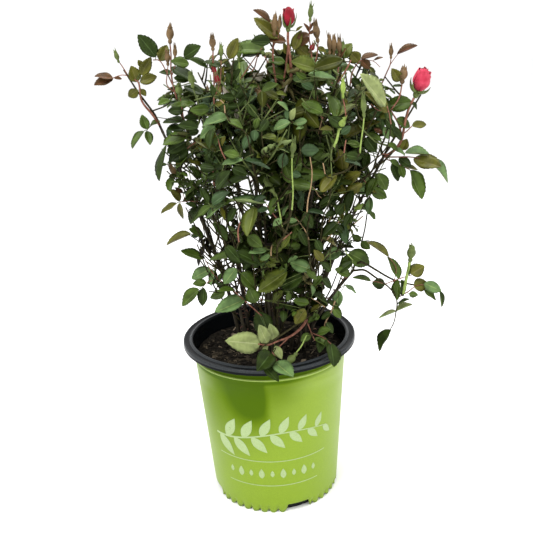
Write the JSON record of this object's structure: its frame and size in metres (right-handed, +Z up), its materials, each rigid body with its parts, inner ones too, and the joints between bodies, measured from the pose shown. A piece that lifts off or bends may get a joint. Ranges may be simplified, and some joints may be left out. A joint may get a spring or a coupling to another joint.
{
  "type": "rose bush in a nursery pot",
  "caption": "Bushy garden rose with many thin woody canes, toothed leaves and a few red blooms, growing in a tapered round nursery pot with a rolled rim.",
  "frame": {"origin": "the middle of the flat underside of the pot, level with what it stands on", "axes": "+Z is up along the pot's axis; -Y faces the side with the spray that hangs over the rim; +X is the side with the long arching shoot"},
  "size_m": [0.4203, 0.3027, 0.626],
  "materials": {
    "pot": "satin lime green, black inside and on the rim",
    "soil": "damp bark mix",
    "trunk": "rough dark bark",
    "cane": "dark reddish brown bark",
    "foliage": "semi-gloss green leaves"
  },
  "bodies": {
    "root": {"pot": "pot", "soil": "soil", "trunk": "trunk", "cane_upper_1": "cane", "cane_upper_2": "cane", "cane_upper_3": "cane", "cane_upper_4": "cane", "cane_upper_5": "cane", "cane_middle_1": "cane", "cane_middle_2": "cane", "cane_middle_3": "cane", "cane_middle_4": "cane", "cane_middle_5": "cane", "cane_lower_1": "cane", "cane_lower_2": "cane", "cane_lower_3": "cane", "cane_lower_4": "cane", "cane_lower_5": "cane", "cane_left_sprig": "cane", "cane_right_shoulder": "cane", "cane_right_arch": "cane", "cane_rim_spray": "cane", "cane_low_back": "cane", "foliage_upper_1": "foliage", "foliage_upper_2": "foliage", "foliage_upper_3": "foliage", "foliage_upper_4": "foliage", "foliage_upper_5": "foliage", "foliage_middle_1": "foliage", "foliage_middle_2": "foliage", "foliage_middle_3": "foliage", "foliage_middle_4": "foliage", "foliage_middle_5": "foliage", "foliage_lower_1": "foliage", "foliage_lower_2": "foliage", "foliage_lower_3": "foliage", "foliage_lower_4": "foliage", "foliage_lower_5": "foliage", "foliage_summit": "foliage", "foliage_left_sprig": "foliage", "foliage_right_shoulder": "foliage", "foliage_right_arch": "foliage", "foliage_rim_spray": "foliage", "foliage_low_back": "foliage"}
  },
  "joints": []
}
